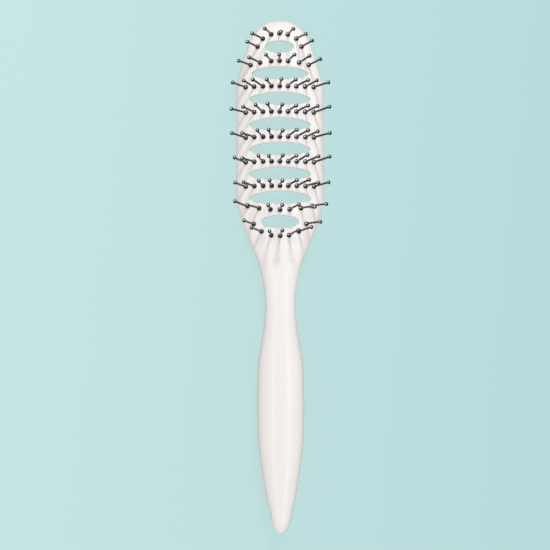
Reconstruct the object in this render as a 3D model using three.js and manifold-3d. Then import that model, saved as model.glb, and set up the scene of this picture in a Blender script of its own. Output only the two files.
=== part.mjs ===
// A vented styling brush, lying on its back.
// Millimetres: +X is to the right, +Y to the tip of the head, +Z the way the pins point.
// The origin is under the middle of the brush, on the surface that it rests on.
import * as THREE from 'three';
import { mergeVertices } from 'three/addons/utils/BufferGeometryUtils.js';
import Module from 'manifold-3d';

const wasm = await Module();
wasm.setup();

// Body in plan: half widths along the length, before the two ends are rounded off.
const HALF_LENGTH = 118.5;
const HEAD_HALF_WIDTH = 20;
const SHOULDER = 86;
const HALF_WIDTHS = [
  [-HALF_LENGTH, 4.75], [-111.5, 4.85], [-104, 6.15], [-90, 8.65], [-75, 10.35], [-60, 10.6], [-44, 10.3],
  [-35, 9.05], [-24, 7.35], [-16, 6.9], [-9, 7.25], [2, 9.4], [15.5, 14.4], [27, 18.3],
  [36, HEAD_HALF_WIDTH], [SHOULDER, HEAD_HALF_WIDTH], [98.5, 17.25], [106, 15.1], [HALF_LENGTH, 14.9],
];
const HEAD_ROUNDING = 16;
const HANDLE_ROUNDING = 10;

// Body from the side: the middle of the wall on the centre line, the rim, and half the wall's depth.
const SHELL_HALF_DEPTH = 1.6;
const MID_HEIGHTS = [
  [-HALF_LENGTH, 7.2], [-60, 8.05], [-30, 7], [-12, 6.5], [4, 6.6], [20, 7.1], [34, 7.2],
];
const RIM_HEIGHTS = [
  [-12, 6.5], [-4, 5.6], [8, 3.4], [20, 1.3], [32, 0.45], [SHOULDER, 0.45], [HALF_LENGTH, 1.75],
];
const HALF_DEPTHS = [
  [-HALF_LENGTH, 4.3], [-104, 5.1], [-90, 6.6], [-60, 8], [-40, 7.2], [-24, 5.7], [-12, 5], [0, 4.3],
  [10, 2.6], [18, SHELL_HALF_DEPTH],
];
const NECK_START = 18;
const NECK_END = -6;
const SHELL_SQUARENESS = 24;
const ROUND_SQUARENESS = 2;

// Pin rows, numbered from the tip: row 1 goes round the small vent at the tip, the others cross the head.
// A row's pins stand on its centre line point and at these distances on both sides of it.
// The bow is how far a row's last pins are nearer to the tip than its middle.
const SECOND_ROW = 98;
const ROW_PITCH = 12.15;
const PITCH_STEP = 0.2;
const LAST_ROW = 16.05;
const TIP_ROW = { centre: 104.6, across: 10.05, along: 6.7, distances: [3.75, 7.65, 10] };
const NARROW_ROW = { distances: [3.85, 8.9, 13.2], bow: -1.3 };
const WIDE_ROW = { distances: [3.75, 7.6, 11.6, 15.5], bow: 0.4 };
const BOWED_ROW = { distances: [4.35, 9.45, 14.7], bow: 2.4 };
const NECK_ROW = { distances: [4, 8.4, 11.9], bow: 6 };
const WIDE_ROWS = 5;

// Vents, each midway between two rows and a little nearer to the tip.
const VENT_RISES = [...Array(7).fill(0.35), 0.75];
const VENT_HALF_HEIGHT = 2.9;
const VENT_HALF_LENGTHS = [6.4, 13, ...Array(5).fill(14), 8.5];
const VENT_POINTING = 0.06;

// Pins, measured up from the face, and the rails that join them behind it.
const STEM_RADIUS = 0.6;
const HOLE_RADIUS = 1.05;
const BEAD_RADIUS = 1.15;
const BEAD_FOOT = 0.3;
const BEAD_HEIGHT = 2;
const SHAFT_RADIUS = 0.45;
const TIP_RADIUS = 0.95;
const TIP_CENTRE = 13.6;
const TIP_BAND = 0.42;
const PIN_SPLAY = 1.2;
const PIN_SIDES = 6;
const HOLE_SIDES = 5;
const RAIL_WIDTH = 2;
const RAIL_DEPTH = 1.1;
const RAIL_OVERHANG = 1.3;
const CLEARANCE = 0.3;

// Steps that round stretches are divided into.
const RING_POINTS = 24;
const VENT_POINTS = 20;
const END_STEPS = 6;
const LENGTH_STEPS = 30;
const RAIL_STEPS = 8;
const BELOW = 5;
const ABOVE = 12;

const bodyMaterial = new THREE.MeshStandardMaterial({ color: 0xf1eeec, roughness: 0.22, metalness: 0 });
const pinMaterial = new THREE.MeshStandardMaterial({ color: 0x2e2f31, roughness: 0.35, metalness: 0 });

// A smooth curve through [place, value] pairs that never swings past them, level beyond its ends.
function smoothThrough(points) {
  const last = points.length - 1;
  const rise = (i) => (points[i + 1][1] - points[i][1]) / (points[i + 1][0] - points[i][0]);
  const slopeAt = (i) => {
    if (i === 0 || i === last) {
      return 0;
    }
    const [before, after] = [rise(i - 1), rise(i)];
    return before * after > 0 ? (2 * before * after) / (before + after) : 0;
  };
  return (place) => {
    const held = THREE.MathUtils.clamp(place, points[0][0], points[last][0]);
    const found = points.findIndex((point, i) => i < last && held <= points[i + 1][0]);
    const [[start, from], [end, to]] = [points[found], points[found + 1]];
    const step = end - start;
    const s = (held - start) / step;
    const eased = s * s * (3 - 2 * s);
    const lead = s * (1 - s) * (1 - s) * slopeAt(found);
    const trail = s * s * (1 - s) * slopeAt(found + 1);
    return from + (to - from) * eased + step * (lead - trail);
  };
}

const plainHalfWidth = smoothThrough(HALF_WIDTHS);
const plainMidHeight = smoothThrough(MID_HEIGHTS);
const rimHeight = smoothThrough(RIM_HEIGHTS);
const plainHalfDepth = smoothThrough(HALF_DEPTHS);

// Falls from 1 to 0 as a quarter circle over the last stretch before an end.
function endRounding(distanceToEnd, stretch) {
  const inside = THREE.MathUtils.clamp(1 - distanceToEnd / stretch, 0, 1);
  return Math.sqrt(1 - inside * inside);
}

// The body's cross-section at a place along its length.
function sectionAt(y) {
  const headEnd = HALF_LENGTH - y;
  const handleEnd = HALF_LENGTH + y;
  const handleRound = endRounding(handleEnd, HANDLE_ROUNDING);
  const halfWidth = plainHalfWidth(y) * endRounding(headEnd, HEAD_ROUNDING) * handleRound;
  const halfDepth = plainHalfDepth(y) * endRounding(headEnd, SHELL_HALF_DEPTH) * handleRound;
  const rim = y < RIM_HEIGHTS[0][0] ? plainMidHeight(y) : rimHeight(y);
  const spread = y > SHOULDER ? halfWidth / HEAD_HALF_WIDTH : 1;
  const crown = (plainMidHeight(y) - rim) * spread;
  const shell = THREE.MathUtils.smoothstep(y, NECK_END, NECK_START);
  const squareness = ROUND_SQUARENESS * (SHELL_SQUARENESS / ROUND_SQUARENESS) ** shell;
  return { halfWidth, halfDepth, rim, crown, squareness };
}

// Height of the face (side 1) or of the back (side -1) over a point in plan.
function surfaceHeight(x, y, side) {
  const { halfWidth, halfDepth, rim, crown, squareness } = sectionAt(y);
  const across = Math.min(Math.abs(x) / halfWidth, 1);
  const fullness = Math.sqrt(1 - across ** squareness);
  return rim + crown * (1 - across * across) + side * halfDepth * fullness;
}

// Square to the arch across the head and upright along it; a splay over 1 leans further out.
function outward(x, y, splay) {
  const probe = 0.5;
  const rise = surfaceHeight(x + probe, y, 1) - surfaceHeight(x - probe, y, 1);
  return new THREE.Vector3(-rise * splay, 0, 2 * probe).normalize();
}

// A closed skin over rings that are anticlockwise looking along the loft, with a fan on each end.
function loft(rings) {
  const count = rings[0].length;
  const positions = rings.flat().flatMap((point) => point.toArray());
  const triangles = [];
  for (let ring = 0; ring + 1 < rings.length; ring += 1) {
    for (let i = 0; i < count; i += 1) {
      const a = ring * count + i;
      const b = ring * count + ((i + 1) % count);
      triangles.push(a, b + count, b, a, a + count, b + count);
    }
  }
  for (const [ring, turned] of [[0, false], [rings.length - 1, true]]) {
    const centre = positions.length / 3;
    const middle = rings[ring].reduce((sum, point) => sum.add(point), new THREE.Vector3());
    positions.push(...middle.divideScalar(count).toArray());
    for (let i = 0; i < count; i += 1) {
      const a = ring * count + i;
      const b = ring * count + ((i + 1) % count);
      triangles.push(centre, ...(turned ? [b, a] : [a, b]));
    }
  }
  const geometry = new THREE.BufferGeometry();
  geometry.setAttribute('position', new THREE.Float32BufferAttribute(positions, 3));
  geometry.setIndex(triangles);
  return geometry;
}

function solidOf(geometry) {
  const bare = geometry.clone();
  bare.deleteAttribute('normal');
  bare.deleteAttribute('uv');
  const merged = mergeVertices(bare);
  const vertProperties = new Float32Array(merged.attributes.position.array);
  const triVerts = new Uint32Array(merged.index.array);
  return new wasm.Manifold(new wasm.Mesh({ numProp: 3, vertProperties, triVerts }));
}

function meshOf(name, solid, material) {
  const { vertProperties, triVerts } = solid.getMesh();
  const geometry = new THREE.BufferGeometry();
  geometry.setAttribute('position', new THREE.BufferAttribute(new Float32Array(vertProperties), 3));
  geometry.setIndex(new THREE.BufferAttribute(new Uint32Array(triVerts), 1));
  geometry.computeVertexNormals();
  const mesh = new THREE.Mesh(geometry, material);
  mesh.name = name;
  return mesh;
}

// Each row is a curve in plan, with the points that its pins stand on.
function rowOf(curve, distances, shareAt) {
  const places = [...distances.map((distance) => -distance).reverse(), 0, ...distances];
  return { curve, pins: places.map((x) => curve.getPoint(shareAt(x))) };
}

function crossRow({ distances, bow }, place) {
  const reach = distances[distances.length - 1];
  const ends = [-reach, reach].map((x) => new THREE.Vector2(x, place + bow));
  const pull = new THREE.Vector2(0, place - bow);
  const curve = new THREE.QuadraticBezierCurve(ends[0], pull, ends[1]);
  return rowOf(curve, distances, (x) => (x / reach + 1) / 2);
}

function tipRow({ centre, across, along, distances }) {
  const end = Math.acos(distances[distances.length - 1] / across);
  const curve = new THREE.EllipseCurve(0, centre, across, along, Math.PI - end, end, true);
  return rowOf(curve, distances, (x) => (Math.PI - end - Math.acos(x / across)) / (Math.PI - 2 * end));
}

function pinRows() {
  const evenRows = [NARROW_ROW, ...Array(WIDE_ROWS).fill(WIDE_ROW), BOWED_ROW];
  const placeOf = (step) => SECOND_ROW - step * ROW_PITCH + ((step * (step - 1)) / 2) * PITCH_STEP;
  const crossRows = evenRows.map((row, step) => crossRow(row, placeOf(step)));
  return [tipRow(TIP_ROW), ...crossRows, crossRow(NECK_ROW, LAST_ROW)];
}

function bodyGeometry() {
  const firstStep = 0.25;
  const endDepths = Array.from({ length: END_STEPS }, (unused, i) => (
    1 - Math.cos(((i + firstStep) / END_STEPS) * (Math.PI / 2))
  ));
  const [from, to] = [-HALF_LENGTH + HANDLE_ROUNDING, HALF_LENGTH - HEAD_ROUNDING];
  const between = Array.from({ length: LENGTH_STEPS + 1 }, (unused, i) => (
    THREE.MathUtils.lerp(from, to, i / LENGTH_STEPS)
  ));
  const stations = [
    ...endDepths.map((depth) => -HALF_LENGTH + HANDLE_ROUNDING * depth),
    ...between,
    ...endDepths.map((depth) => HALF_LENGTH - HEAD_ROUNDING * depth).reverse(),
  ];
  const rings = stations.map((y) => {
    const { halfWidth } = sectionAt(y);
    return Array.from({ length: RING_POINTS }, (unused, i) => {
      const angle = (2 * Math.PI * i) / RING_POINTS;
      const x = halfWidth * Math.cos(angle);
      return new THREE.Vector3(x, y, surfaceHeight(x, y, Math.sign(Math.sin(angle))));
    });
  });
  return loft(rings);
}

// A pointed oval, cut right through the head.
function ventGeometry(centre, halfLength) {
  const outline = Array.from({ length: VENT_POINTS }, (unused, i) => {
    const angle = (2 * Math.PI * i) / VENT_POINTS;
    const height = VENT_HALF_HEIGHT * Math.sin(angle) * Math.abs(Math.sin(angle)) ** VENT_POINTING;
    return new THREE.Vector2(halfLength * Math.cos(angle), centre + height);
  });
  const through = { depth: BELOW + ABOVE, bevelEnabled: false };
  return new THREE.ExtrudeGeometry(new THREE.Shape(outline), through).translate(0, 0, -BELOW);
}

function ventGeometries(rows) {
  const places = rows.map(({ curve }) => curve.getPoint(0.5).y);
  return VENT_HALF_LENGTHS.map((halfLength, i) => {
    const centre = (places[i] + places[i + 1]) / 2 + VENT_RISES[i];
    return ventGeometry(centre, halfLength);
  });
}

// A point of the face over a point in plan.
function onFace(point) {
  return new THREE.Vector3(point.x, point.y, surfaceHeight(point.x, point.y, 1));
}

// A bar along a row, right under its pins, from one height over the back of the head to another.
function barGeometry(curve, halfWidth, low, high, overhang) {
  const reach = overhang / curve.getLength();
  const rings = Array.from({ length: RAIL_STEPS + 1 }, (unused, i) => {
    const along = THREE.MathUtils.lerp(-reach, 1 + reach, i / RAIL_STEPS);
    const held = THREE.MathUtils.clamp(along, 0, 1);
    const heading = curve.getTangentAt(held);
    const past = (along - held) * curve.getLength();
    const point = curve.getPointAt(held).addScaledVector(heading, past);
    const normal = outward(point.x, point.y, 1);
    const side = new THREE.Vector3(-heading.y, heading.x, 0);
    side.addScaledVector(normal, -side.dot(normal)).normalize();
    const face = onFace(point);
    const wall = (face.z - surfaceHeight(point.x, point.y, -1)) * normal.z;
    const back = face.addScaledVector(normal, -wall);
    const corners = [[-halfWidth, low], [-halfWidth, high], [halfWidth, high], [halfWidth, low]];
    return corners.map(([across, up]) => (
      back.clone().addScaledVector(side, across).addScaledVector(normal, up)
    ));
  });
  return loft(rings);
}

// Stands a shape made along +Y on the face, at a point in plan.
function standOnFace(geometry, point) {
  const up = new THREE.Vector3(0, 1, 0);
  const turn = new THREE.Quaternion().setFromUnitVectors(up, outward(point.x, point.y, PIN_SPLAY));
  return geometry.clone().applyQuaternion(turn).translate(...onFace(point).toArray());
}

function pinGeometry() {
  const root = RAIL_DEPTH / 2 - 2 * SHELL_HALF_DEPTH;
  const profile = [
    [0, root], [STEM_RADIUS, root], [STEM_RADIUS, BEAD_FOOT],
    [BEAD_RADIUS, BEAD_FOOT + BEAD_HEIGHT / 2],
    [SHAFT_RADIUS, BEAD_FOOT + BEAD_HEIGHT], [SHAFT_RADIUS, TIP_CENTRE - TIP_RADIUS],
    [TIP_RADIUS, TIP_CENTRE - TIP_BAND], [TIP_RADIUS, TIP_CENTRE + TIP_BAND], [0, TIP_CENTRE + TIP_RADIUS],
  ];
  const points = profile.map(([radius, height]) => new THREE.Vector2(radius, height));
  return new THREE.LatheGeometry(points, PIN_SIDES);
}

function holeGeometry() {
  const wall = 2 * SHELL_HALF_DEPTH;
  const geometry = new THREE.CylinderGeometry(HOLE_RADIUS, HOLE_RADIUS, wall, HOLE_SIDES);
  return geometry.translate(0, -RAIL_DEPTH / 2, 0);
}

// Everything under the resting plane, taken off so that the rims end in flat faces.
function undersideGeometry() {
  const slab = new THREE.BoxGeometry(2 * HALF_LENGTH, 2 * HALF_LENGTH, BELOW);
  return slab.translate(0, 0, -BELOW / 2);
}

function brushBody(rows) {
  let solid = solidOf(bodyGeometry()).subtract(solidOf(undersideGeometry()));
  for (const vent of ventGeometries(rows)) {
    solid = solid.subtract(solidOf(vent));
  }
  const hole = holeGeometry();
  for (const { curve, pins } of rows) {
    const halfWidth = RAIL_WIDTH / 2 + CLEARANCE;
    const depth = RAIL_DEPTH + CLEARANCE;
    const groove = barGeometry(curve, halfWidth, -SHELL_HALF_DEPTH, depth, RAIL_OVERHANG + CLEARANCE);
    solid = solid.subtract(solidOf(groove));
    for (const point of pins) {
      solid = solid.subtract(solidOf(standOnFace(hole, point)));
    }
  }
  return meshOf('brush_body', solid, bodyMaterial);
}

function pinStrip({ curve, pins }, number) {
  let solid = solidOf(barGeometry(curve, RAIL_WIDTH / 2, 0, RAIL_DEPTH, RAIL_OVERHANG));
  const pin = pinGeometry();
  for (const point of pins) {
    solid = solid.add(solidOf(standOnFace(pin, point)));
  }
  return meshOf(`pin_strip_${number}`, solid, pinMaterial);
}

const rows = pinRows();
const group = new THREE.Group();
group.add(brushBody(rows));
rows.forEach((row, i) => group.add(pinStrip(row, i + 1)));

export default group;
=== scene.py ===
"""A vented styling brush, lying on its back on a pale floor.

Sizes of the brush are millimetres until a mesh is made, and those of the studio are metres. +X is to
the right, +Y to the tip of the head and +Z the way the pins point, with the origin under the middle of
the brush.
"""

import logging
import math
from dataclasses import dataclass
from enum import Enum
from functools import cache

import bmesh
import bpy
import numpy as np
from bpy.types import ID, Material, Mesh, Node, NodeSocket, NodeTree, Object, World, bpy_prop_collection
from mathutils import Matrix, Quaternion, Vector


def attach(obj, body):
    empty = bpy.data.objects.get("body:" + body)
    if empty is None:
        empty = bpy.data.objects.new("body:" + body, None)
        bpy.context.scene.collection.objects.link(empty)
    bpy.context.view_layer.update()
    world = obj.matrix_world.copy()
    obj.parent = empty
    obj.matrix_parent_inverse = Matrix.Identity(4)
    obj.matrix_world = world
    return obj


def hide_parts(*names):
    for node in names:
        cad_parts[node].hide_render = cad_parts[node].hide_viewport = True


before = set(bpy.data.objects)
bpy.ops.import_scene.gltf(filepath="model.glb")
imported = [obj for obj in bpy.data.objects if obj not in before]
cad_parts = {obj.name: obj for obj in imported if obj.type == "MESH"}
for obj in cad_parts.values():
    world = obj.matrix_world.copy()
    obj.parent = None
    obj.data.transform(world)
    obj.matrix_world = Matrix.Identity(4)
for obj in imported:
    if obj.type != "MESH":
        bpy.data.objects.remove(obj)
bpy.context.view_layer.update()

LOG = logging.getLogger("brush")
MM = 0.001
WELD = 1e-6
SHARP_ANGLE = math.radians(40.0)
CORNER_STEPS = 3
BODY = "root"
WORKING_ATTRIBUTES = (
    "across", "side", "drop", "half_width", "half_depth", "rim", "crown", "squareness", "edge", "stand",
    "bend", "height", "girth",
)

Array = np.ndarray
Triple = tuple[float, float, float]
Colour = Triple
Pairs = tuple[tuple[float, float], ...]
Feed = NodeSocket | ID | float | int | bool | str | tuple
Feeds = dict[str | int, Feed]


class Side(Enum):
    """The two faces of the moulding; the value is the way each one looks along Z."""

    FACE = 1.0
    BACK = -1.0


class RowKind(Enum):
    """How a row of pins lies on the head."""

    ACROSS = "across the head"
    ROUND_TIP = "round the small vent at the tip"


class TreeKind(Enum):
    """What a node tree makes; the value is Blender's name for it."""

    SHAPE = "GeometryNodeTree"
    LOOK = "ShaderNodeTree"


class Graph:
    """A node tree being put together."""

    def __init__(self, tree: NodeTree) -> None:
        """Starts on a tree that takes the nodes."""
        self.tree = tree
        self.given: bpy_prop_collection | None = None

    @classmethod
    def named(cls, name: str, kind: TreeKind, **sockets: str) -> "Graph":
        """Starts on a new tree and gives it its inputs.

        Args:
            name: what the tree is called.
            kind: what it makes.
            sockets: the type of each input, by a name with underscores for spaces.

        Returns:
            The graph.
        """
        graph = cls(bpy.data.node_groups.new(name, kind.value))
        for title, value in sockets.items():
            graph.tree.interface.new_socket(
                title.replace("_", " "), in_out="INPUT", socket_type=f"NodeSocket{value}",
            )
        graph.given = graph.tree.nodes.new("NodeGroupInput").outputs
        return graph

    @staticmethod
    def shown(sockets: bpy_prop_collection, name: str) -> NodeSocket:
        """The socket of that name that is in use, where a node keeps one for each type of value."""
        return next(socket for socket in sockets if socket.name == name and socket.enabled)

    def feed(self, node: Node, feeds: Feeds) -> None:
        """Gives a node's inputs what they take.

        Args:
            node: the node.
            feeds: another node's output, or a plain value, for each input by its name or place.
        """
        for key, value in feeds.items():
            socket = node.inputs[key] if isinstance(key, int) else self.shown(node.inputs, key)
            if isinstance(value, NodeSocket):
                self.tree.links.new(value, socket)
            else:
                socket.default_value = (*value, 1.0) if socket.type == "RGBA" else value

    def node(self, kind: str, feeds: Feeds | None = None, **settings: object) -> Node:
        """Adds a node.

        Args:
            kind: Blender's name for the type of node.
            feeds: what its inputs take.
            settings: the node's own properties.

        Returns:
            The new node.
        """
        made = self.tree.nodes.new(kind)
        for name, value in settings.items():
            setattr(made, name, value)
        self.feed(made, feeds or {})
        return made

    def out(self, kind: str, feeds: Feeds | None = None, **settings: object) -> NodeSocket:
        """Adds a node and gives its first output that is in use; the arguments are those of node."""
        made = self.node(kind, feeds, **settings)
        return next(socket for socket in made.outputs if socket.enabled)

    def group(self, tree: NodeTree, feeds: Feeds) -> Node:
        """Adds another tree of the same kind as one node."""
        return self.node(tree.bl_idname.replace("Tree", "Group"), feeds, node_tree=tree)

    def math(self, operation: str, *values: Feed) -> NodeSocket:
        """One step of arithmetic on plain values."""
        return self.out("ShaderNodeMath", dict(enumerate(values)), operation=operation)

    def vector(self, operation: str, feeds: Feeds) -> NodeSocket:
        """One step of arithmetic on vectors."""
        return self.out("ShaderNodeVectorMath", feeds, operation=operation)

    def part(self, vector: NodeSocket, axis: str) -> NodeSocket:
        """One part of a vector."""
        return self.node("ShaderNodeSeparateXYZ", {0: vector}).outputs[axis]

    def mix(self, share: Feed, first: Feed, second: Feed) -> NodeSocket:
        """A blend of two colours, which a Mix node takes at its places 6 and 7 and gives at 2."""
        return self.node("ShaderNodeMix", {0: share, 6: first, 7: second}, data_type="RGBA").outputs[2]

    def ramp(self, value: Feed, start: Feed, end: Feed, low: float = 0.0, high: float = 1.0) -> NodeSocket:
        """A value that goes from start to end while the one that comes in goes from low to high."""
        feeds = {"Value": value, "From Min": low, "From Max": high, "To Min": start, "To Max": end}
        return self.out("ShaderNodeMapRange", feeds)

    def attribute(self, name: str, data_type: str = "FLOAT") -> NodeSocket:
        """Reads a named attribute of the geometry."""
        return self.out("GeometryNodeInputNamedAttribute", {"Name": name}, data_type=data_type)

    def shape_of(self, name: str) -> NodeSocket:
        """The shape of the object that comes in by a name."""
        return self.node("GeometryNodeObjectInfo", {"Object": self.given[name]}).outputs["Geometry"]

    def weld(self, mesh: NodeSocket) -> NodeSocket:
        """Joins the points of a mesh that lie in one place."""
        return self.out("GeometryNodeMergeByDistance", {"Geometry": mesh, "Distance": WELD})

    def closing(self, **results: NodeSocket) -> NodeTree:
        """Gives the tree its outputs.

        Args:
            results: what goes out by each output.

        Returns:
            The finished tree.
        """
        last = self.tree.nodes.new("NodeGroupOutput")
        for name, socket in results.items():
            self.tree.interface.new_socket(name, in_out="OUTPUT", socket_type=socket.bl_idname)
            self.tree.links.new(socket, last.inputs[name])
        return self.tree

    def piece(self, mesh: NodeSocket) -> NodeTree:
        """Ends a tree that makes a piece, whose material comes in as Finish.

        Args:
            mesh: the piece's shape.

        Returns:
            The finished tree.
        """
        smooth = self.out("GeometryNodeSetShadeSmooth", {"Geometry": mesh})
        whole = self.out("GeometryNodeRealizeInstances", {"Geometry": smooth})
        dressed = self.out("GeometryNodeSetMaterial", {"Geometry": whole, "Material": self.given["Finish"]})
        return self.closing(Geometry=dressed)


def store(mesh: Mesh, name: str, values: Array) -> None:
    """Keeps a value for each point of a mesh.

    Args:
        mesh: the mesh.
        name: what the attribute is called.
        values: one number, one flag or one vector for each point.
    """
    flag = values.dtype == bool
    kind = "BOOLEAN" if flag else "FLOAT_VECTOR" if values.ndim > 1 else "FLOAT"
    attribute = mesh.attributes.new(name, kind, "POINT")
    key = "vector" if kind == "FLOAT_VECTOR" else "value"
    plain = values if flag else values.astype(np.float32)
    attribute.data.foreach_set(key, np.ascontiguousarray(plain).ravel())


def chain_mesh(name: str, points: Array) -> Mesh:
    """A chain of edges from point to point.

    Args:
        name: what the mesh is called.
        points: the points, in millimetres.

    Returns:
        The mesh.
    """
    mesh = bpy.data.meshes.new(name)
    mesh.from_pydata((points * MM).tolist(), [(i, i + 1) for i in range(len(points) - 1)], [])
    return mesh


def place(name: str, data: ID) -> Object:
    """Puts an object in the scene, at the origin.

    Args:
        name: what the object is called.
        data: its mesh, light or camera.

    Returns:
        The object.
    """
    made = bpy.data.objects.new(name, data)
    bpy.context.scene.collection.objects.link(made)
    return made


def shape_by_nodes(piece: Object, tree: NodeTree, values: dict[str, object],
                   kept: tuple[str, ...] = ()) -> None:
    """Runs a tree on a piece and leaves its result as the piece's plain mesh.

    Args:
        piece: the object whose mesh goes in.
        tree: the geometry tree.
        values: what each named input takes.
        kept: the working attributes that the piece's finish reads.
    """
    modifier = piece.modifiers.new(tree.name, "NODES")
    modifier.node_group = tree
    for item in tree.interface.items_tree:
        if item.in_out == "INPUT" and item.name in values:
            modifier[item.identifier] = values[item.name]
    ready = piece.evaluated_get(bpy.context.evaluated_depsgraph_get())
    made = bpy.data.meshes.new_from_object(ready)
    piece.modifiers.remove(modifier)
    spent = piece.data
    piece.data = made
    bpy.data.meshes.remove(spent)
    made.name = piece.name
    made.set_sharp_from_angle(angle=SHARP_ANGLE)
    for name in WORKING_ATTRIBUTES:
        if name not in kept and name in made.attributes:
            made.attributes.remove(made.attributes[name])


def ease(share: Array) -> Array:
    """A share from 0 to 1, made to start and end level."""
    return share * share * (3 - 2 * share)


def quarter_round(distance: Array, stretch: float) -> Array:
    """How full a section is near an end: a quarter circle from 0 at the end to 1 past the stretch."""
    inside = np.clip(1 - distance / stretch, 0, 1)
    return np.sqrt(1 - inside * inside)


@dataclass(frozen=True)
class Profile:
    """A smooth curve through (place, value) pairs that never swings past them, level beyond its ends."""

    points: Pairs

    def at(self, y: Array) -> Array:
        """Reads the curve.

        Args:
            y: places along the brush.

        Returns:
            The value at each place.
        """
        places, values = np.array(self.points).T
        rises = np.diff(values) / np.diff(places)
        before, after = rises[:-1], rises[1:]
        same_way = before * after > 0
        inner = np.where(same_way, 2 * before * after / np.where(same_way, before + after, 1.0), 0.0)
        slopes = np.concatenate([[0.0], inner, [0.0]])
        held = np.clip(y, places[0], places[-1])
        i = np.clip(np.searchsorted(places, held) - 1, 0, len(places) - 2)
        step = places[i + 1] - places[i]
        s = (held - places[i]) / step
        lead = s * (1 - s) ** 2 * slopes[i]
        trail = s * s * (1 - s) * slopes[i + 1]
        return values[i] + (values[i + 1] - values[i]) * ease(s) + step * (lead - trail)


@dataclass(frozen=True)
class Moulding:
    """The rule that gives the moulding's cross-section at each place along its length."""

    half_length: float = 118.46
    head_half_width: float = 20.0
    shoulder: float = 86.0
    head_rounding: float = 16.0
    handle_rounding: float = 8.2
    shell_half_depth: float = 1.6
    neck_start: float = 18.0
    neck_end: float = -6.0
    round_squareness: float = 2.0
    shell_squareness: float = 24.0
    rim_start: float = -12.0
    half_widths: Profile = Profile((
        (-118.5, 4.4), (-111.5, 4.7), (-104, 6.3), (-90, 8.65), (-75, 10.35), (-60, 10.6), (-44, 10.3),
        (-35, 9.05), (-24, 7.35), (-16, 6.9), (-9, 7.25), (2, 9.4), (15.5, 14.4), (27, 18.3), (36, 20),
        (86, 20), (98.5, 17.25), (106, 15.1), (118.5, 14.9),
    ))
    mid_heights: Profile = Profile((
        (-118.5, 7.2), (-60, 8.05), (-30, 7), (-12, 6.5), (4, 6.6), (20, 7.1), (34, 7.2),
    ))
    rim_heights: Profile = Profile((
        (-12, 6.5), (-4, 5.6), (8, 3.4), (20, 1.3), (32, 0.45), (86, 0.45), (118.5, 1.75),
    ))
    half_depths: Profile = Profile((
        (-118.5, 4.3), (-104, 5.1), (-90, 6.6), (-60, 8), (-40, 7.2), (-24, 5.7), (-12, 5), (0, 4.3),
        (10, 2.6), (18, 1.6),
    ))

    def half_width(self, y: Array) -> Array:
        """Half the width in plan, with both ends rounded off."""
        head = quarter_round(self.half_length - y, self.head_rounding)
        return self.half_widths.at(y) * head * quarter_round(self.half_length + y, self.handle_rounding)

    def sections(self, y: Array) -> dict[str, Array]:
        """The cross-section at each place.

        Args:
            y: places along the brush.

        Returns:
            Half width, half depth, height of the rim, rise of the crown over it, and squareness.
        """
        half_width = self.half_width(y)
        head = quarter_round(self.half_length - y, self.shell_half_depth)
        handle = quarter_round(self.half_length + y, self.handle_rounding)
        mid = self.mid_heights.at(y)
        rim = np.where(y < self.rim_start, mid, self.rim_heights.at(y))
        spread = np.where(y > self.shoulder, half_width / self.head_half_width, 1.0)
        shell = ease(np.clip((y - self.neck_end) / (self.neck_start - self.neck_end), 0, 1))
        growth = self.shell_squareness / self.round_squareness
        return {
            "half_width": half_width * MM,
            "half_depth": self.half_depths.at(y) * head * handle * MM,
            "rim": rim * MM,
            "crown": (mid - rim) * spread * MM,
            "squareness": self.round_squareness * growth ** shell,
        }

    def mark(self, mesh: Mesh, across: Array, y: Array) -> None:
        """Keeps on each point of a flat mesh what lifts it to the section.

        Args:
            mesh: the flat mesh.
            across: where each point is across the section, from -1 to 1.
            y: where it is along the brush.
        """
        store(mesh, "across", across)
        for name, values in self.sections(y).items():
            store(mesh, name, values)


@cache
def lift_tree() -> NodeTree:
    """The section rule as nodes, shared by the body and the pin rows.

    Returns:
        A group that takes which side a point is on, how far it is pressed in and how far a pin splays, and
        gives its place, the way a pin points there, and the wall behind it.
    """
    graph = Graph.named("lift_to_section", TreeKind.SHAPE, Side="Float", Drop="Float", Splay="Float")
    across = graph.attribute("across")
    half_width = graph.attribute("half_width")
    crown = graph.attribute("crown")
    square = graph.math("MULTIPLY", across, across)
    arch = graph.math("MULTIPLY_ADD", crown, graph.math("SUBTRACT", 1.0, square), graph.attribute("rim"))
    powered = graph.math("POWER", graph.math("ABSOLUTE", across), graph.attribute("squareness"))
    fullness = graph.math("SQRT", graph.math("MAXIMUM", graph.math("SUBTRACT", 1.0, powered), 0.0))
    depth = graph.math("MULTIPLY", graph.attribute("half_depth"), fullness)
    pressed = graph.math("SUBTRACT", depth, graph.given["Drop"])
    height = graph.math("MULTIPLY_ADD", graph.given["Side"], pressed, arch)
    spot = graph.out("ShaderNodeCombineXYZ", {
        "X": graph.math("MULTIPLY", across, half_width),
        "Y": graph.part(graph.out("GeometryNodeInputPosition"), "Y"),
        "Z": graph.math("MAXIMUM", height, 0.0),
    })
    doubled = graph.math("MULTIPLY", graph.math("MULTIPLY", crown, across), 2.0)
    slope = graph.math("DIVIDE", doubled, half_width)
    outward = graph.math("MULTIPLY", slope, graph.given["Splay"])
    leaning = graph.out("ShaderNodeCombineXYZ", {"X": outward, "Y": 0.0, "Z": 1.0})
    heading = graph.vector("NORMALIZE", {0: leaning})
    wall = graph.math("MULTIPLY", graph.math("MULTIPLY", depth, 2.0), graph.part(heading, "Z"))
    return graph.closing(Place=spot, Heading=heading, Wall=wall)


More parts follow.
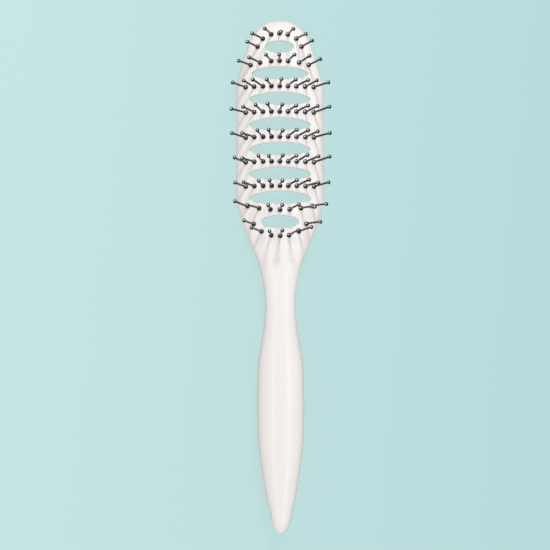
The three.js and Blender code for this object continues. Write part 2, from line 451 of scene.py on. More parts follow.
@cache
def bar_tree() -> NodeTree:
    """A bar along a row, right under its pins, shared by the rails and the grooves that take them.

    Returns:
        A group that sweeps a bar from one height over the back of the head to another.
    """
    graph = Graph.named("bar_along_row", TreeKind.SHAPE, Geometry="Geometry", Width="Float", Low="Float",
                        High="Float", Corner="Float")
    lifted = graph.group(lift_tree(), {"Side": Side.FACE.value, "Splay": 1.0}).outputs
    low, high = graph.given["Low"], graph.given["High"]
    middle = graph.math("MULTIPLY", graph.math("ADD", low, high), 0.5)
    inset = graph.math("SUBTRACT", middle, lifted["Wall"])
    line = graph.out("GeometryNodeMeshToCurve", {"Mesh": graph.given["Geometry"]})
    heading = lifted["Heading"]
    turned = graph.out("GeometryNodeSetCurveNormal", {"Curve": line, "Normal": heading}, mode="FREE")
    moved = graph.out("GeometryNodeSetPosition", {
        "Geometry": turned, "Position": lifted["Place"],
        "Offset": graph.vector("SCALE", {0: heading, "Scale": inset}),
    })
    outline = graph.out("GeometryNodeCurvePrimitiveQuadrilateral", {
        "Width": graph.math("SUBTRACT", high, low), "Height": graph.given["Width"],
    })
    rounded = graph.out("GeometryNodeFilletCurve", {
        "Curve": outline, "Count": CORNER_STEPS, "Radius": graph.given["Corner"],
    }, mode="POLY")
    bar = graph.out("GeometryNodeCurveToMesh", {"Curve": moved, "Profile Curve": rounded, "Fill Caps": True})
    return graph.closing(Mesh=bar)


@dataclass(frozen=True)
class PinRow:
    """One row of pins as a line in plan: a pin on the centre line, and the others in pairs beside it.

    A row round the tip lies on an ellipse that reaches across to each side. The bow is how far the ends lie
    beyond the middle, and each pin's ball has bent over sideways and forward.
    """

    number: int
    kind: RowKind
    middle: float
    distances: tuple[float, ...]
    bow: float
    sideways: tuple[float, ...]
    forward: tuple[float, ...]
    across: float = 10.05
    power: float = 2.0

    def line(self, steps: int) -> Array:
        """The row's line in plan, from its first pin to its last.

        Args:
            steps: how many steps there are from pin to pin.

        Returns:
            The points, on an ellipse round the tip and elsewhere on a bow that rises by a power.
        """
        right = np.array(self.distances)
        stands = np.concatenate([-right[::-1], [0.0], right])
        count = len(stands)
        marks = np.arccos(stands / self.across) if self.kind is RowKind.ROUND_TIP else stands
        fine = np.interp(np.arange((count - 1) * steps + 1) / steps, np.arange(count), marks)
        if self.kind is RowKind.ROUND_TIP:
            return np.column_stack([self.across * np.cos(fine), self.middle + self.bow * (1 - np.sin(fine))])
        return np.column_stack([fine, self.middle + self.bow * np.abs(fine / stands[-1]) ** self.power])

    def path_mesh(self, moulding: Moulding, overhang: float, steps: int) -> Mesh:
        """The row's path as a flat mesh, carried past its last pins and marked for lifting to the face.

        Args:
            moulding: the section rule.
            overhang: how far the path goes on past the first pin and the last.
            steps: how many steps there are from pin to pin.

        Returns:
            A chain of edges, with the points that pins stand on and how far each pin has bent over.
        """
        line = self.line(steps)
        heads = line[[0, -1]] - line[[1, -2]]
        first, last = line[[0, -1]] + heads / np.linalg.norm(heads, axis=1)[:, None] * overhang
        points = np.vstack([first, line, last])
        stands = np.zeros(len(points), bool)
        stands[1:-1:steps] = True
        bend = np.zeros((len(points), 3))
        bend[stands, :2] = np.column_stack([self.sideways, self.forward])
        mesh = chain_mesh(f"row_path_{self.number}", np.column_stack([points, np.zeros(len(points))]))
        moulding.mark(mesh, points[:, 0] / moulding.half_width(points[:, 1]), points[:, 1])
        store(mesh, "stand", stands)
        store(mesh, "bend", bend * MM)
        return mesh


def pin_rows() -> list[PinRow]:
    """The nine rows of pins.

    Returns:
        The rows, numbered from the tip, with each pin's bend from left to right.
    """
    # Rows 2 to 8 lie closer together towards the neck.
    second, pitch, closing, last = 98.0, 12.15, 0.2, 16.05
    middles = [second - pitch * step + closing * step * (step - 1) / 2 for step in range(7)]
    narrow, wide = (3.85, 8.9, 13.2), (3.75, 7.6, 11.6, 15.5)
    bends = (
        ((1.2, 1.0, -0.6, -0.1, 0.8, 1.5, 1.3, -0.5, -0.5),
         (-0.4, 0.0, 0.1, -0.1, 0.0, -0.1, -0.2, 0.0, -0.5)),
        ((0.7, 0.7, 0.6, 0.3, 1.1, 1.6, 1.2, -0.2, -0.1),
         (-0.8, -0.2, 0.3, 0.6, 0.2, -0.3, -0.1, 0.0, 0.1)),
        ((0.9, 0.2, 1.4, 0.7, 1.3, 1.8, 1.2, -0.2, 0.0),
         (-0.3, -0.7, 0.3, 0.3, -0.1, 0.2, 0.2, 0.0, -0.4)),
        ((2.1, 0.3, 1.9, 0.8, 1.3, 1.6, 0.8, 0.0, -0.2),
         (-0.1, -0.8, 0.0, -0.2, 0.0, -0.2, 0.3, 0.0, 0.2)),
        ((2.3, 0.9, 2.0, 1.1, 1.1, 1.8, 1.5, -0.1, -0.7),
         (-0.3, -0.5, -0.1, -0.1, -0.3, -0.1, 0.3, -0.8, -0.3)),
    )
    across = RowKind.ACROSS
    return [
        PinRow(1, RowKind.ROUND_TIP, 111.3, (3.75, 7.65, 10.0), -6.7,
               (1.1, 0.0, -0.4, 0.6, -0.1, -0.5, -1.0), (-0.7, -0.7, -0.6, -2.7, -0.8, -1.0, -0.2)),
        PinRow(2, across, middles[0], narrow, -1.3,
               (1.2, -0.1, -0.1, -0.2, 0.6, -0.2, -1.4), (-0.8, -0.6, -0.3, -0.5, -0.3, 0.1, -0.1)),
        *(PinRow(3 + i, across, middles[1 + i], wide, 0.4, *bend) for i, bend in enumerate(bends)),
        PinRow(8, across, middles[6], (4.35, 9.45, 14.7), 2.4,
               (1.6, 0.0, 1.7, 1.0, 1.4, 0.8, -1.1), (0.2, -0.8, -0.5, -0.4, -0.3, -1.7, -1.2)),
        PinRow(9, across, last, (4.0, 8.4, 11.9), 6.0,
               (2.7, 1.2, 2.3, 1.0, 1.1, -0.1, -0.8), (-0.4, -0.4, -0.4, 0.1, 0.1, -0.2, -1.1), power=2.7),
    ]


class Net:
    """A flat net of faces gathered from grids; a point is (across, y, side, drop, painted shade), the last
    being how much painted shade darkens the point.
    """

    def __init__(self) -> None:
        """Starts with no points."""
        self.points: list[Array] = []
        self.faces: list[Array] = []
        self.count = 0

    def add(self, grid: Array, ring: bool, turned: bool) -> None:
        """Adds a grid of points and the faces between them.

        Args:
            grid: rows of points.
            ring: whether each row closes on itself.
            turned: whether the faces look the other way.
        """
        rows, columns = grid.shape[:2]
        index = np.arange(rows * columns).reshape(rows, columns) + self.count
        if ring:
            index = np.hstack([index, index[:, :1]])
        corners = [index[:-1, :-1], index[:-1, 1:], index[1:, 1:], index[1:, :-1]]
        if turned:
            corners.reverse()
        self.points.append(grid.reshape(-1, grid.shape[2]))
        self.faces.append(np.stack(corners, axis=-1).reshape(-1, 4))
        self.count += rows * columns

    def mesh(self, name: str, moulding: Moulding) -> Mesh:
        """The net as a flat mesh, marked for lifting to the section.

        Args:
            name: what the mesh is called.
            moulding: the section rule.

        Returns:
            The mesh.
        """
        across, y, side, drop, edge = np.vstack(self.points).T
        made = bpy.data.meshes.new(name)
        flat = np.column_stack([across * moulding.half_width(y), y, np.zeros(len(y))]) * MM
        made.from_pydata(flat.tolist(), [], np.vstack(self.faces).tolist())
        moulding.mark(made, across, y)
        store(made, "side", side)
        store(made, "drop", drop * MM)
        # The painted shade that darkens the white at the rims and the vent edges.
        store(made, "edge", edge)
        return made


@dataclass
class BrushBody:
    """The white moulding: arched head with eight vents, neck and spindle handle.

    The points are laid out flat here, because the rounded edges of the vents need faces that follow them.
    The nodes then lift them to the section and cut the grooves of the rails.
    """

    moulding: Moulding
    rows: list[PinRow]
    finish: Material
    vent_rises: tuple[float, ...] = (0.45, 0.6, 0.55, 0.45, 0.5, 0.45, 0.45, 0.75)
    vent_half_height: float = 2.98
    vent_half_lengths: tuple[float, ...] = (6.4, 13.0, *(14.0,) * 5, 8.5)
    vent_end_power: float = 0.94
    vent_corner: float = math.radians(35.0)
    vent_edge: float = 0.75
    # Painted shade: how dark the rounded edges of the vents are painted, and where and how steeply the
    # painted shade rises towards the rims.
    vent_fillet_painted_shade: float = 0.5
    rim_painted_shade_start: float = 0.72
    rim_painted_shade_power: float = 1.5
    end_margin: float = 5.7
    groove_width: float = 2.6
    groove_depth: float = 1.4
    groove_overhang: float = 1.6
    groove_steps: int = 8
    flat_share: float = 0.86
    columns: int = 60
    rim_steps: int = 12
    cell_steps: int = 16
    bar_steps: int = 9
    edge_steps: int = 6
    wall_steps: int = 5
    end_steps: int = 18
    handle_steps: int = 96
    tip_steps: int = 28

    def rim_half(self) -> Array:
        """Places across the section from the rim to the flat part, closer together at the rim."""
        return np.cos(np.linspace(0.0, math.acos(self.flat_share), self.rim_steps + 1))

    def ring(self) -> Array:
        """One turn round the section.

        Returns:
            (across, side) for each point, from the right rim over the face and back below.
        """
        rim = self.rim_half()
        flat = np.linspace(self.flat_share, -self.flat_share, self.columns + 1)
        over = np.concatenate([rim[:-1], flat, -rim[-2::-1]])
        face = np.column_stack([over, np.full(len(over), Side.FACE.value)])
        back = np.column_stack([-over, np.full(len(over), Side.BACK.value)])
        return np.vstack([face[:-1], back[:-1]])

    def rim_painted_shade(self, across: Array) -> Array:
        """Painted shade near the rim, from 0 to 1, growing as a point nears the rim."""
        near = (np.abs(across) - self.rim_painted_shade_start) / (1 - self.rim_painted_shade_start)
        return np.clip(near, 0, 1) ** self.rim_painted_shade_power

    def rings_grid(self, stations: Array, ring: Array) -> Array:
        """Copies of a turn round the section at each station.

        Args:
            stations: places along the brush.
            ring: (across, side) for each point of a turn.

        Returns:
            A grid for the net.
        """
        across, side = (np.broadcast_to(part, (len(stations), len(ring))) for part in ring.T)
        y = np.broadcast_to(stations[:, None], across.shape)
        # The last value is painted shade, which darkens the white towards the rims.
        return np.stack([across, y, side, np.zeros(across.shape), self.rim_painted_shade(across)], axis=-1)

    def rim_grid(self, right: bool, bounds: Array) -> Array:
        """One rim of the head beside the vents.

        Args:
            right: whether it is the right rim.
            bounds: where the vents' stretches end.

        Returns:
            A grid for the net.
        """
        rim = self.rim_half()[::-1]
        over = np.concatenate([rim, rim[-2::-1]])
        first, last = (Side.BACK, Side.FACE) if right else (Side.FACE, Side.BACK)
        side = np.concatenate([np.full(len(rim), first.value), np.full(len(rim) - 1, last.value)])
        shares = np.linspace(0.0, 1.0, self.cell_steps + 1)[:-1]
        stations = np.concatenate([
            *(low + (high - low) * shares for low, high in zip(bounds[:-1], bounds[1:])), bounds[-1:],
        ])
        return self.rings_grid(stations, np.column_stack([over if right else -over, side]))

    def cell_outline(self, low: float, high: float) -> Array:
        """The outline in plan of one vent's stretch of the head.

        Args:
            low: where the stretch begins.
            high: where it ends.

        Returns:
            The points, anticlockwise from the lower right corner.
        """
        up = np.linspace(low, high, self.cell_steps + 1)
        over = np.linspace(self.flat_share, -self.flat_share, self.columns + 1)
        ends = np.full(self.cell_steps, self.flat_share)
        across = np.concatenate([ends, over[:-1], -ends, over[:0:-1]])
        y = np.concatenate([up[:-1], np.full(self.columns, high), up[:0:-1], np.full(self.columns, low)])
        return np.column_stack([across * self.moulding.half_width(y), y])

    def vent_outline(self, centre: float, half_length: float) -> Array:
        """A vent's full-ended oval in plan, with as many points as the outline of its stretch.

        Args:
            centre: where the vent lies along the brush.
            half_length: half its length across the head.

        Returns:
            The points, anticlockwise from the lower right.
        """
        corner = self.vent_corner
        end = np.linspace(-corner, corner, self.cell_steps + 1)[:-1]
        top = np.arccos(np.linspace(math.cos(corner), -math.cos(corner), self.columns + 1))[:-1]
        turn = np.concatenate([end, top, math.pi + end, math.pi + top])
        rise = np.sign(np.sin(turn)) * np.abs(np.sin(turn)) ** self.vent_end_power
        return np.column_stack([half_length * np.cos(turn), centre + self.vent_half_height * rise])

    def vent_grid(self, centre: float, half_length: float, low: float, high: float) -> Array:
        """The faces round one vent, from its stretch's outline over the face, through it and over the back.

        Args:
            centre: where the vent lies along the brush.
            half_length: half its length across the head.
            low: where its stretch of the head begins.
            high: where its stretch ends.

        Returns:
            A grid for the net.
        """
        outer = self.cell_outline(low, high)
        outline = self.vent_outline(centre, half_length)
        tangent = np.roll(outline, -1, axis=0) - np.roll(outline, 1, axis=0)
        normal = np.column_stack([tangent[:, 1], -tangent[:, 0]])
        normal /= np.linalg.norm(normal, axis=1)[:, None]
        shoulder = outline + normal * self.vent_edge
        rows: list[tuple[Array, float, float]] = []
        for share in np.linspace(1.0, 0.0, self.bar_steps + 1)[:-1]:
            rows.append((shoulder + (outer - shoulder) * share, 0.0, 0.0))
        for turn in np.linspace(math.pi / 2, 0.0, self.edge_steps + 1):
            ring = outline + normal * self.vent_edge * (1 - math.cos(turn))
            drop = self.vent_edge * (1 - math.sin(turn))
            # Painted shade in the rounded edge, strongest midway round it.
            rows.append((ring, drop, self.vent_fillet_painted_shade * math.sin(2 * turn)))
        levels = np.linspace(Side.FACE.value, Side.BACK.value, self.wall_steps + 1)[1:-1]
        face = [(ring, Side.FACE.value, drop, edge) for ring, drop, edge in rows]
        walls = [(outline, level, self.vent_edge, 0.0) for level in levels]
        back = [(ring, Side.BACK.value, drop, edge) for ring, drop, edge in reversed(rows)]
        grid = []
        for ring, *marks in face + walls + back:
            across = ring[:, 0] / self.moulding.half_width(ring[:, 1])
            grid.append(np.column_stack([across, ring[:, 1], np.tile(marks, (len(ring), 1))]))
        return np.array(grid)

    def net(self) -> Net:
        """Lays out the whole moulding, with the places along it closer together at the rounded ends.

        Returns:
            A flat net.
        """
        # Each vent lies a little nearer to the tip than midway between two rows. They go from the neck up.
        places = np.array([row.middle for row in self.rows])
        centres = ((places[:-1] + places[1:]) / 2 + np.array(self.vent_rises))[::-1]
        between = (centres[:-1] + centres[1:]) / 2
        bounds = np.concatenate([[centres[0] - self.end_margin], between, [centres[-1] + self.end_margin]])
        half, rounding = self.moulding.half_length, self.moulding.handle_rounding
        end = rounding * (1 - np.cos(np.linspace(0.0, math.pi / 2, self.end_steps + 1))) - half
        handle = np.concatenate([end, np.linspace(rounding - half, bounds[0], self.handle_steps + 1)[1:]])
        tip = half - (half - bounds[-1]) * np.linspace(1.0, 0.0, self.tip_steps + 1) ** 2
        net = Net()
        for stations in (handle, tip):
            net.add(self.rings_grid(stations, self.ring()), ring=True, turned=True)
        for right in (True, False):
            net.add(self.rim_grid(right, bounds), ring=False, turned=True)
        for stretch in zip(centres, self.vent_half_lengths[::-1], bounds[:-1], bounds[1:]):
            net.add(self.vent_grid(*stretch), ring=True, turned=False)
        return net

    @staticmethod
    def tree() -> NodeTree:
        """The nodes that lift the net to the section and cut the grooves of the rails in its back.

        Returns:
            The geometry tree.
        """
        graph = Graph.named(
            "body_by_sections", TreeKind.SHAPE, Geometry="Geometry", Groove_Paths="Object",
            Groove_Width="Float", Groove_Depth="Float", Groove_Relief="Float", Finish="Material",
        )
        lifted = graph.group(lift_tree(), {"Side": graph.attribute("side"), "Drop": graph.attribute("drop")})
        skin = graph.out("GeometryNodeSetPosition", {
            "Geometry": graph.given["Geometry"], "Position": lifted.outputs["Place"],
        })
        groove = graph.group(bar_tree(), {
            "Geometry": graph.shape_of("Groove Paths"), "Width": graph.given["Groove Width"],
            "Low": graph.given["Groove Relief"], "High": graph.given["Groove Depth"],
        })
        cut = graph.out("GeometryNodeMeshBoolean", {
            "Mesh 1": graph.weld(skin), "Mesh 2": groove.outputs["Mesh"],
        }, operation="DIFFERENCE", solver="EXACT")
        return graph.piece(graph.weld(cut))

    def groove_paths(self) -> Object:
        """Gathers the paths of all the grooves.

        Returns:
            One flat object.
        """
        joined = bmesh.new()
        for row in self.rows:
            path = row.path_mesh(self.moulding, self.groove_overhang, self.groove_steps)
            joined.from_mesh(path)
            bpy.data.meshes.remove(path)
        mesh = bpy.data.meshes.new("groove_paths")
        joined.to_mesh(mesh)
        joined.free()
        return place("groove_paths", mesh)

    def build(self) -> Object:
        """Makes the moulding and puts it in the frame.

        Returns:
            The finished piece.
        """
        piece = place("body", self.net().mesh("body", self.moulding))
        paths = self.groove_paths()
        shape_by_nodes(piece, self.tree(), {
            "Groove Paths": paths, "Groove Width": self.groove_width * MM,
            "Groove Depth": self.groove_depth * MM,
            "Groove Relief": -self.moulding.shell_half_depth * MM, "Finish": self.finish,
        }, kept=("edge",))
        bpy.data.objects.remove(paths)
        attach(piece, BODY)
        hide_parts("brush_body")
        return piece


@dataclass(frozen=True)
class PinOutline:
    """A pin's outline from its root in the rail, through the bead on the face, to the ball at its tip."""

    root: float = -2.65
    stem: float = 0.6
    bead_radius: float = 1.2
    bead_half_depth: float = 1.1
    bead_centre: float = 0.3
    shaft_foot: float = 0.5
    shaft_top: float = 0.47
    ball_radius: float = 0.95
    ball_centre: float = 13.6
    round_steps: int = 8
    shaft_steps: int = 6

    def build(self) -> Object:
        """Makes the outline.

        Returns:
            A chain of edges up the Z axis, with the height and the radius kept on each point.
        """
        below = math.acos(-math.sqrt(1 - (self.stem / self.bead_radius) ** 2))
        above = math.asin(self.shaft_foot / self.bead_radius)
        bead = np.linspace(below, above, self.round_steps + 1)
        under = math.acos(-math.sqrt(1 - (self.shaft_top / self.ball_radius) ** 2))
        ball = np.linspace(under, 0.0, self.round_steps + 1)
        low = self.bead_centre + self.bead_half_depth * math.cos(above)
        high = self.ball_centre + self.ball_radius * math.cos(under)
        shares = np.linspace(0.0, 1.0, self.shaft_steps + 1)[1:-1]
        height, girth = np.vstack([
            [[self.root, 0.0], [self.root, self.stem]],
            np.column_stack([self.bead_centre + self.bead_half_depth * np.cos(bead),
                             self.bead_radius * np.sin(bead)]),
            np.column_stack([low + (high - low) * shares,
                             self.shaft_foot + (self.shaft_top - self.shaft_foot) * shares]),
            np.column_stack([self.ball_centre + self.ball_radius * np.cos(ball),
                             self.ball_radius * np.sin(ball)]),
        ]).T
        mesh = chain_mesh("pin_outline", np.column_stack([np.zeros((len(height), 2)), height]))
        store(mesh, "height", height * MM)
        store(mesh, "girth", np.maximum(girth, 0.0) * MM)
        return place("pin_outline", mesh)


@dataclass
class PinStrip:
    """One nylon strip: a rail in the back of the head and the pins that stand on it through the face."""

    moulding: Moulding
    row: PinRow
    finish: Material
    sides: int = 12
    splay: float = 1.2
    bend_height: float = 13.6
    bend_power: float = 1.5
    rail_width: float = 2.0
    rail_depth: float = 1.1
    rail_corner: float = 0.25
    rail_overhang: float = 1.3
    rail_steps: int = 6

    @staticmethod
    @cache
    def tree() -> NodeTree:
        """The nodes that stand a row's pins on the face and join them by a rail behind it.

        Returns:
            The geometry tree.
        """
        graph = Graph.named(
            "pins_on_rail", TreeKind.SHAPE, Geometry="Geometry", Pin_Outline="Object", Sides="Int",
            Splay="Float", Bend_Height="Float", Bend_Power="Float", Rail_Width="Float",
            Rail_Depth="Float", Rail_Corner="Float", Finish="Material",
        )
        path = graph.given["Geometry"]
        lifted = graph.group(lift_tree(), {"Side": Side.FACE.value, "Splay": graph.given["Splay"]}).outputs
        axis = graph.out("GeometryNodeMeshToCurve", {"Mesh": graph.shape_of("Pin Outline")})
        circle = graph.out("GeometryNodeCurvePrimitiveCircle", {
            "Resolution": graph.given["Sides"], "Radius": 1.0,
        })
        skin = graph.out("GeometryNodeCurveToMesh", {
            "Curve": axis, "Profile Curve": circle, "Scale": graph.attribute("girth"),
        })
        upright = graph.out("FunctionNodeAlignRotationToVector", {"Vector": lifted["Heading"]}, axis="Z")
        stood = graph.out("GeometryNodeInstanceOnPoints", {
            "Points": graph.out("GeometryNodeSetPosition", {"Geometry": path, "Position": lifted["Place"]}),
            "Selection": graph.attribute("stand", "BOOLEAN"),
            "Instance": graph.weld(skin),
            "Rotation": upright,
        })
        risen = graph.math("DIVIDE", graph.math("MAXIMUM", graph.attribute("height"), 0.0),
                           graph.given["Bend Height"])
        bend = graph.vector("SCALE", {
            0: graph.attribute("bend", "FLOAT_VECTOR"),
            "Scale": graph.math("POWER", risen, graph.given["Bend Power"]),
        })
        bent = graph.out("GeometryNodeSetPosition", {
            "Geometry": graph.out("GeometryNodeRealizeInstances", {"Geometry": stood}), "Offset": bend,
        })
        rail = graph.group(bar_tree(), {
            "Geometry": path, "Width": graph.given["Rail Width"], "High": graph.given["Rail Depth"],
            "Corner": graph.given["Rail Corner"],
        })
        joined = graph.node("GeometryNodeJoinGeometry")
        for part in (rail.outputs["Mesh"], bent):
            graph.feed(joined, {"Geometry": part})
        return graph.piece(joined.outputs["Geometry"])

    def build(self, outline: Object) -> Object:
        """Makes the strip and puts it in the frame.

        Args:
            outline: a pin's outline.

        Returns:
            The finished piece.
        """
        path = self.row.path_mesh(self.moulding, self.rail_overhang, self.rail_steps)
        piece = place(f"pin_row_{self.row.number}", path)
        shape_by_nodes(piece, self.tree(), {
            "Pin Outline": outline, "Sides": self.sides, "Splay": self.splay,
            "Bend Height": self.bend_height * MM, "Bend Power": self.bend_power,
            "Rail Width": self.rail_width * MM, "Rail Depth": self.rail_depth * MM,
            "Rail Corner": self.rail_corner * MM, "Finish": self.finish,
        })
        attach(piece, BODY)
        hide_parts(f"pin_strip_{self.row.number}")
        return piece


@cache
def moulded_skin() -> NodeTree:
    """The look that moulded plastics share: clouded tone, uneven gloss and fine grain.

    Returns:
        A shader group that puts out a colour, a roughness and a height.
    """
    graph = Graph.named("moulded_skin", TreeKind.LOOK, Light_Tone="Color", Deep_Tone="Color",
                        Cloud_Scale="Float", Gloss_Low="Float", Gloss_High="Float", Grain_Scale="Float")
    at = graph.node("ShaderNodeTexCoord").outputs["Object"]
    cloud = graph.out("ShaderNodeTexNoise", {
        "Vector": at, "Scale": graph.given["Cloud Scale"], "Detail": 3.0, "Roughness": 0.55,
    })
    grain = graph.out("ShaderNodeTexNoise", {
        "Vector": at, "Scale": graph.given["Grain Scale"], "Detail": 2.0, "Roughness": 0.5,
    })
    tone = graph.mix(cloud, graph.given["Light Tone"], graph.given["Deep Tone"])
    rough = graph.ramp(cloud, graph.given["Gloss Low"], graph.given["Gloss High"], low=0.3, high=0.7)
    return graph.closing(Color=tone, Roughness=rough, Height=grain)


@dataclass(frozen=True)
class MouldedPlastic:
    """A moulded plastic: the shared look with tones, gloss and grain of its own."""

    name: str
    light: Colour
    deep: Colour
    shine: float
    gloss: tuple[float, float]
    cloud_scale: float
    grain_scale: float
    grain_strength: float
    grain_height: float = 0.0002

    def tone(self, graph: Graph, clouded: NodeSocket) -> NodeSocket:
        """The colour that the shader takes, which is the clouded tone as it comes."""
        return clouded

    def make(self) -> Material:
        """Makes the material.

        Returns:
            The material.
        """
        material = bpy.data.materials.new(self.name)
        material.use_nodes = True
        graph = Graph(material.node_tree)
        low, high = self.gloss
        look = graph.group(moulded_skin(), {
            "Light Tone": self.light, "Deep Tone": self.deep, "Cloud Scale": self.cloud_scale,
            "Gloss Low": low, "Gloss High": high, "Grain Scale": self.grain_scale,
        }).outputs
        bump = graph.out("ShaderNodeBump", {
            "Height": look["Height"], "Strength": self.grain_strength, "Distance": self.grain_height,
        })
        graph.feed(material.node_tree.nodes["Principled BSDF"], {
            "Base Color": self.tone(graph, look["Color"]), "Roughness": look["Roughness"], "Normal": bump,
            "Specular IOR Level": self.shine,
        })
        return material


@dataclass(frozen=True)
class WhiteMoulding(MouldedPlastic):
    """Warm white moulded plastic with a soft gloss, with painted shade that makes it darker and warmer
    towards the rims and round the vents.
    """

    name: str = "white_moulding"
    light: Colour = (0.873, 0.845, 0.832)
    deep: Colour = (0.855, 0.82, 0.804)
    shine: float = 0.4
    gloss: tuple[float, float] = (0.25, 0.28)
    cloud_scale: float = 38.0
    grain_scale: float = 900.0
    grain_strength: float = 0.03
    # Painted shade: the darker, warmer colour the white is mixed towards at the rims and vent edges, and how
    # far.
    edge: Colour = (0.8, 0.715, 0.685)
    painted_shade_share: float = 0.68

    def tone(self, graph: Graph, clouded: NodeSocket) -> NodeSocket:
        """The clouded tone, darkened and warmed by the painted shade that the body keeps on its points."""
        edge = graph.node("ShaderNodeAttribute", attribute_name="edge").outputs["Fac"]
        return graph.mix(graph.math("MULTIPLY", edge, self.painted_shade_share), clouded, self.edge)


@dataclass(frozen=True)
class CharcoalNylon(MouldedPlastic):
    """Smooth charcoal nylon with a clear shine."""

    name: str = "charcoal_nylon"
    light: Colour = (0.013, 0.0134, 0.0145)
    deep: Colour = (0.008, 0.0082, 0.009)
    shine: float = 0.5
    gloss: tuple[float, float] = (0.2, 0.28)
    cloud_scale: float = 260.0
    grain_scale: float = 2600.0
    grain_strength: float = 0.04


@dataclass(frozen=True)
class Lamp:
    """A round or oval lamp: the way to it from the brush, its sizes in metres and its power in watts."""

    name: str
    toward: Triple
    size: tuple[float, float]
    power: float
    lights: bool = True
    mirrored: bool = True

    def hang(self, aim: Vector, distance: float) -> Object:
        """Puts the lamp in the scene.

        Args:
            aim: the point that it shines on.
            distance: how far from there it is.

        Returns:
            The lamp.
        """
        data = bpy.data.lights.new(self.name, "AREA")
        data.shape = "ELLIPSE"
        data.size, data.size_y = self.size
        data.energy = self.power
        lamp = place(self.name, data)
        way = Vector(self.toward).normalized()
        lamp.location = aim + way * distance
        lamp.rotation_euler = (-way).to_track_quat("-Z", "Y").to_euler()
        lamp.visible_camera = False
        lamp.visible_diffuse = self.lights
        lamp.visible_glossy = self.mirrored
        return lamp


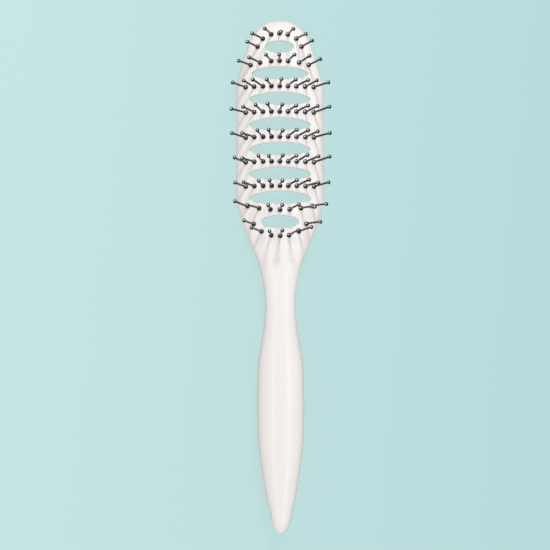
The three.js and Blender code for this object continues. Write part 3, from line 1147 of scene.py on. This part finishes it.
@dataclass(frozen=True)
class Studio:
    """The plain pale floor, the soft light and the camera."""

    target: Triple = (-0.00239, -0.0014, 0.005)
    elevation: float = 81.0
    roll: float = -0.15
    distance: float = 1.144
    lens: float = 164.4
    # Painted light: the floor's colour runs from paler on the left to darker on the right.
    floor_left: Colour = (0.56, 0.785, 0.78)
    floor_right: Colour = (0.48, 0.70, 0.705)
    floor_fade: float = 0.12
    floor_glow: float = 0.9
    floor_roughness: float = 0.9
    floor_shine: float = 0.1
    floor_half_size: float = 2.0
    floor_gap: float = 0.0002
    mirrored_floor: float = 0.25
    backdrop: Colour = (0.52, 0.74, 0.74)
    sky: Colour = (0.75, 0.741, 0.736)
    sky_lean: Triple = (-0.1, -0.76, 0.0)
    ground_share: float = 0.8
    ground_start: float = -0.35
    ground_end: float = -0.05
    mirrored_sky: float = 0.2
    lamp_aim: Triple = (0.0, 0.03, 0.01)
    lamp_distance: float = 1.2
    lamps: tuple[Lamp, ...] = (
        Lamp("broad", (0.8, 0.1, 0.6), (0.9, 0.9), 0.7),
        Lamp("small", (0.15, 0.7, 0.7), (0.25, 0.25), 7.1, mirrored=False),
        Lamp("left_band", (-0.53, 0.0, 0.85), (1.8, 0.1), 2.6, lights=False),
        Lamp("right_band", (0.53, 0.0, 0.85), (1.8, 0.1), 2.6, lights=False),
    )
    card: Lamp = Lamp("card", (-0.4, 0.45, 0.8), (2.3, 2.3), 225.0, lights=False)

    def floor_finish(self) -> Material:
        """The floor's paint, paler to the left as painted light, which shows its own colour and is clear
        from below.

        Returns:
            The material.
        """
        material = bpy.data.materials.new("pale_floor")
        material.use_nodes = True
        graph = Graph(material.node_tree)
        at = graph.node("ShaderNodeTexCoord").outputs["Object"]
        # Painted light: the floor is paler to the left.
        fade = graph.ramp(graph.part(at, "X"), 0.0, 1.0, low=-self.floor_fade, high=self.floor_fade)
        tone = graph.mix(fade, self.floor_left, self.floor_right)
        shader = material.node_tree.nodes["Principled BSDF"]
        graph.feed(shader, {
            "Base Color": tone, "Roughness": self.floor_roughness, "Specular IOR Level": self.floor_shine,
        })
        rays = graph.node("ShaderNodeLightPath").outputs
        seen = graph.math("MAXIMUM", graph.math("MAXIMUM", rays["Is Camera Ray"], rays["Is Glossy Ray"]),
                          rays["Is Transmission Ray"])
        dimming = graph.ramp(rays["Is Glossy Ray"], 1.0, self.mirrored_floor)
        glow = graph.out("ShaderNodeEmission", {"Color": tone, "Strength": dimming})
        painted = graph.out("ShaderNodeMixShader", {
            0: graph.math("MULTIPLY", seen, self.floor_glow), 1: shader.outputs[0], 2: glow,
        })
        below = graph.node("ShaderNodeNewGeometry").outputs["Backfacing"]
        clear = graph.out("ShaderNodeBsdfTransparent")
        sided = graph.out("ShaderNodeMixShader", {0: below, 1: painted, 2: clear})
        graph.feed(material.node_tree.nodes["Material Output"], {"Surface": sided})
        return material

    def floor(self) -> None:
        """A wide floor that keeps the brush's soft shadow."""
        half = self.floor_half_size
        corners = [(-half, -half), (half, -half), (half, half), (-half, half)]
        mesh = bpy.data.meshes.new("floor")
        mesh.from_pydata([(x, y, -self.floor_gap) for x, y in corners], [], [(0, 1, 2, 3)])
        mesh.materials.append(self.floor_finish())
        floor = place("floor", mesh)
        floor.visible_diffuse = False
        floor.visible_shadow = False

    def world(self) -> World:
        """A soft sky, brighter one way and dim below and in mirrored light.

        Returns:
            The world, in which the camera sees a pale backdrop.
        """
        world = bpy.data.worlds.new("studio")
        world.cycles.sampling_method = "NONE"
        world.use_nodes = True
        graph = Graph(world.node_tree)
        way = graph.node("ShaderNodeTexCoord").outputs["Generated"]
        lean = graph.vector("DOT_PRODUCT", {0: way, 1: self.sky_lean})
        height = graph.part(way, "Z")
        ground = graph.ramp(height, self.ground_share, 1.0, low=self.ground_start, high=self.ground_end)
        rays = graph.node("ShaderNodeLightPath").outputs
        dimming = graph.ramp(rays["Is Glossy Ray"], 1.0, self.mirrored_sky)
        level = graph.math("MULTIPLY", graph.math("MULTIPLY", graph.math("ADD", lean, 1.0), ground), dimming)
        graph.feed(world.node_tree.nodes["Background"], {
            "Color": graph.mix(rays["Is Camera Ray"], self.sky, self.backdrop),
            "Strength": graph.ramp(rays["Is Camera Ray"], level, 1.0),
        })
        return world

    def light(self, pins: list[Object]) -> None:
        """Lights the brush: sky, a broad lamp, a small one beyond the tip, and lamps that only give shine.

        Args:
            pins: the strips, which let the sky's light through and alone mirror the card.
        """
        bpy.context.scene.world = self.world()
        aim = Vector(self.lamp_aim)
        for lamp in self.lamps:
            lamp.hang(aim, self.lamp_distance)
        mirrors = bpy.data.collections.new("mirrors_the_card")
        for piece in pins:
            piece.visible_diffuse = False
            mirrors.objects.link(piece)
        self.card.hang(aim, self.lamp_distance).light_linking.receiver_collection = mirrors

    def camera(self) -> None:
        """The camera, above the brush and a little towards the end of the handle."""
        data = bpy.data.cameras.new("camera")
        data.lens = self.lens
        camera = place("camera", data)
        tilt = math.radians(self.elevation)
        way = Vector((0.0, -math.cos(tilt), math.sin(tilt)))
        camera.location = Vector(self.target) + way * self.distance
        turn = Quaternion((0.0, 0.0, 1.0), math.radians(self.roll))
        camera.rotation_euler = ((-way).to_track_quat("-Z", "Y") @ turn).to_euler()
        bpy.context.scene.camera = camera

    def build(self, pins: list[Object]) -> None:
        """Sets up the floor, light and camera.

        Args:
            pins: the strips, which have light of their own.
        """
        self.floor()
        self.light(pins)
        self.camera()
        bpy.context.scene.view_settings.view_transform = "Standard"


def main() -> None:
    """Builds the brush and its studio, and reports each piece."""
    logging.basicConfig(level=logging.INFO, format="%(message)s")
    white, charcoal = WhiteMoulding().make(), CharcoalNylon().make()
    moulding, rows = Moulding(), pin_rows()
    pieces = [BrushBody(moulding, rows, white).build()]
    outline = PinOutline().build()
    for row in rows:
        pieces.append(PinStrip(moulding, row, charcoal).build(outline))
    bpy.data.objects.remove(outline)
    Studio().build(pieces[1:])
    for piece in pieces:
        LOG.info("%s: %d points, %d faces", piece.name, len(piece.data.vertices), len(piece.data.polygons))


if __name__ == "__main__":
    main()
